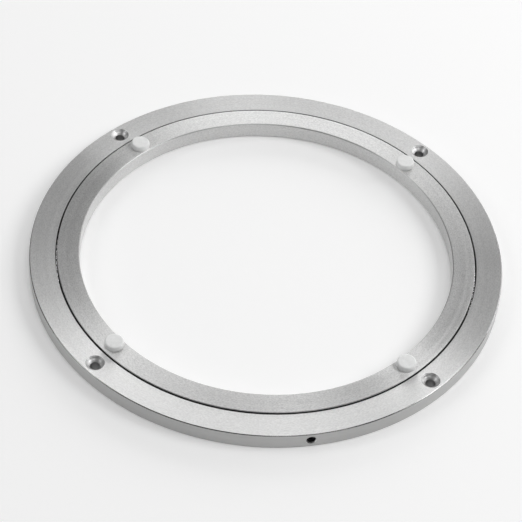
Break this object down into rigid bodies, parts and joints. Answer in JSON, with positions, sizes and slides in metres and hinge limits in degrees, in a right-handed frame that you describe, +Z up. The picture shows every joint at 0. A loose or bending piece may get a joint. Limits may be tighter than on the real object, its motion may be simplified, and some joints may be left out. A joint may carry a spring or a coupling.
{
  "type": "lazy susan turntable bearing",
  "caption": "Flat aluminium ring turntable: the inner ring with silicone pads turns inside a screw-down outer ring on a full race of balls.",
  "frame": {"origin": "centre of the outer ring's underside", "axes": "+Z up along the axis of rotation, out of the face with the countersinks and pads; the screw holes are at 45 degrees to +X and +Y, and the ball-filling hole faces -Y and a little +X"},
  "size_m": [0.3, 0.3, 0.0154],
  "materials": {
    "outer_ring": "fine turned, satin",
    "inner_ring": "fine turned, satin",
    "plug": "black oxide steel, satin",
    "pad": "frosted translucent silicone",
    "ball": "polished bearing steel"
  },
  "bodies": {
    "base": {"outer_ring": "outer_ring", "filler_plug": "plug"},
    "turntable": {"inner_ring": "inner_ring", "pad_1": "pad", "pad_2": "pad", "pad_3": "pad", "pad_4": "pad"},
    "ball_train": {"balls_01": "ball", "balls_02": "ball", "balls_03": "ball", "balls_04": "ball", "balls_05": "ball", "balls_06": "ball", "balls_07": "ball", "balls_08": "ball", "balls_09": "ball", "balls_10": "ball", "balls_11": "ball", "balls_12": "ball", "balls_13": "ball", "balls_14": "ball", "balls_15": "ball", "balls_16": "ball", "balls_17": "ball", "balls_18": "ball", "balls_19": "ball", "balls_20": "ball", "balls_21": "ball", "balls_22": "ball", "balls_23": "ball", "balls_24": "ball", "balls_25": "ball", "balls_26": "ball", "balls_27": "ball", "balls_28": "ball", "balls_29": "ball"}
  },
  "joints": [
    {"name": "turntable_spin", "type": "hinge", "parent": "base", "child": "turntable", "pos_m": [0, 0, 0.0055], "axis": [0, 0, 1], "continuous": true},
    {"name": "ball_orbit", "type": "hinge", "parent": "base", "child": "ball_train", "pos_m": [0, 0, 0.0055], "axis": [0, 0, 1], "continuous": true}
  ],
  "couplings": [
    {"joint": "ball_orbit", "follows": "turntable_spin", "ratio": 0.4911}
  ]
}
